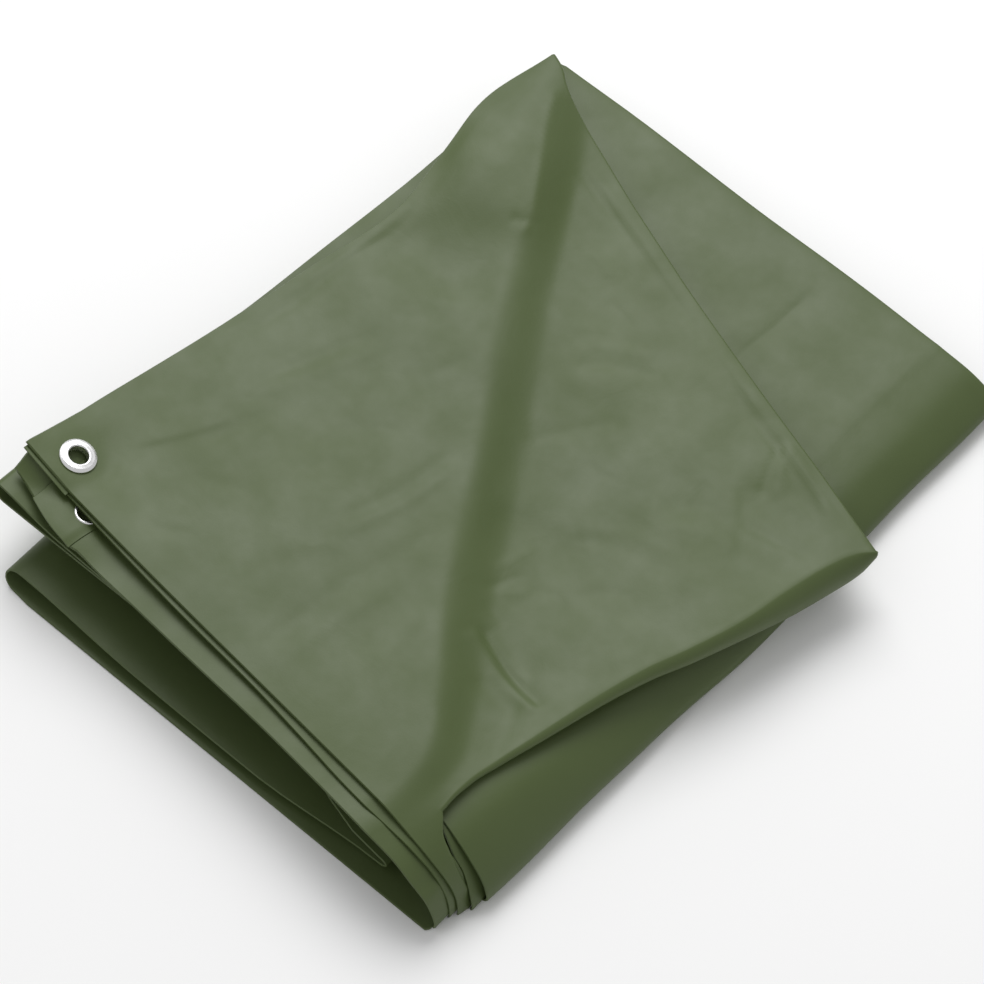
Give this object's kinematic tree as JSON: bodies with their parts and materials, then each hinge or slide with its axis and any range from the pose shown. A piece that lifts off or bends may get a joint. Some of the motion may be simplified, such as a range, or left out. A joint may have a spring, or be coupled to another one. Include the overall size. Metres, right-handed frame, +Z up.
{
  "type": "folded tarp",
  "caption": "Olive green coated tarp, doubled and folded back and forth into a flat rectangular pack, with metal eyelets at its open hem corner.",
  "frame": {"origin": "middle of the pack's footprint, on the surface it lies on", "axes": "+Z up; +X to the spine, the long side round which the layers turn; -Y to the short open side with the hems and eyelets; +Y along the pack's length"},
  "size_m": [0.4084, 0.486, 0.0761],
  "materials": {
    "cloth": "satin coated olive green cloth",
    "hem": "satin coated olive green cloth, doubled",
    "eyelet": "bright rolled metal"
  },
  "bodies": {
    "root": {"tarp_cloth": "cloth", "hem_corner_top": "hem", "hem_corner_second": "hem", "eyelet_top": "eyelet", "eyelet_second": "eyelet"}
  },
  "joints": []
}
